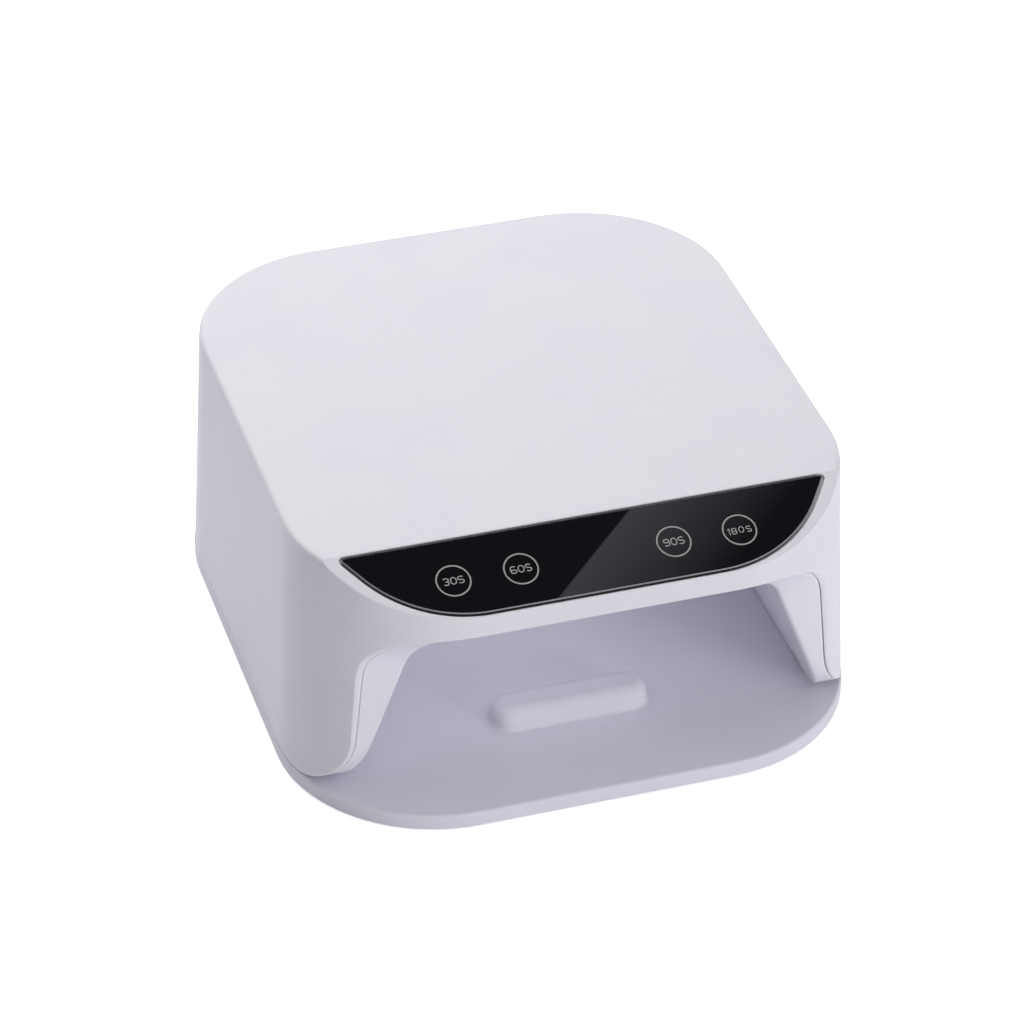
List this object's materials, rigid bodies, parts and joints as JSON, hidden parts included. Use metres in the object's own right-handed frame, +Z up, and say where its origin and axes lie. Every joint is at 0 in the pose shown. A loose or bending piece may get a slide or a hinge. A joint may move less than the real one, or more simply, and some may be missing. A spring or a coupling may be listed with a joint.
{
  "type": "nail lamp",
  "caption": "Rounded-square nail curing lamp: a hollow housing with a hand opening, a slanted black touch panel with timer keys, and a magnetic lift-off base tray with a finger rest.",
  "frame": {"origin": "centre of the footprint on the table, at the underside of the feet", "axes": "+Z up, front with the hand opening towards -Y, +X to the right of someone who faces the front"},
  "size_m": [0.21, 0.232, 0.101],
  "materials": {
    "white_shell": "satin moulded",
    "white_liner": "satin moulded",
    "white_tray": "fine matte moulded",
    "white_cover": "fine matte moulded",
    "screw_steel": "zinc plated",
    "nut_steel": "nickel plated",
    "foot_rubber": "matte",
    "magnet_nickel": "nickel plated",
    "black_lens": "polished",
    "black_foam": "matte",
    "grey_print": "printed",
    "green_board": "lacquered",
    "white_board": "white lacquer on a metal core",
    "dark_rubber": "matte",
    "display_black": "unlit",
    "can_aluminium": "sleeved",
    "coil_dark": "ferrite",
    "chip_black": "moulded",
    "connector_white": "moulded",
    "inlet_black": "moulded",
    "contact_brass": "plated",
    "bead_clear": "clear resin",
    "cap_clear": "clear polished",
    "window_smoke": "smoked",
    "sensor_clear": "clear resin",
    "sensor_dark": "dark resin",
    "wire_red": "insulated",
    "wire_white": "insulated",
    "ribbon_grey": "flat cable"
  },
  "bodies": {
    "tray": {"base_tray": "white_tray", "base_cover": "white_cover", "base_screws": "screw_steel", "rubber_feet": "foot_rubber", "tray_magnets": "magnet_nickel"},
    "housing": {"outer_shell": "white_shell", "cavity_liner": "white_liner", "liner_screws": "screw_steel", "housing_magnets": "magnet_nickel", "touch_lens": "black_lens", "lens_gasket": "black_foam", "key_marks": "grey_print", "touch_board": "green_board", "touch_board_screws": "screw_steel", "touch_pads": "dark_rubber", "digit_display": "display_black", "main_board": "green_board", "main_board_screws": "screw_steel", "capacitors": "can_aluminium", "inductors": "coil_dark", "driver_chips": "chip_black", "board_connectors": "connector_white", "inlet_body": "inlet_black", "inlet_pin": "contact_brass", "inlet_contact": "contact_brass", "inlet_nut": "nut_steel", "lamp_board_top": "white_board", "lamp_board_left": "white_board", "lamp_board_right": "white_board", "lamp_board_back": "white_board", "lamp_board_screws": "screw_steel", "lamp_beads_top": "bead_clear", "lamp_beads_left": "bead_clear", "lamp_beads_right": "bead_clear", "lamp_beads_back": "bead_clear", "bead_caps_top": "cap_clear", "bead_caps_left": "cap_clear", "bead_caps_right": "cap_clear", "bead_caps_back": "cap_clear", "sensor_windows": "window_smoke", "sensor_boards": "green_board", "sensor_sender": "sensor_clear", "sensor_receiver": "sensor_dark", "sensor_screws": "screw_steel", "panel_sockets": "connector_white", "back_header": "chip_black", "inlet_wire": "wire_red", "ceiling_wire": "wire_white", "side_wires": "wire_white", "sensor_wires": "wire_white", "touch_ribbon": "ribbon_grey"}
  },
  "joints": [
    {"name": "housing_lift", "type": "slide", "parent": "tray", "child": "housing", "axis": [0, 0, 1], "range_m": [0, 0.06]}
  ]
}
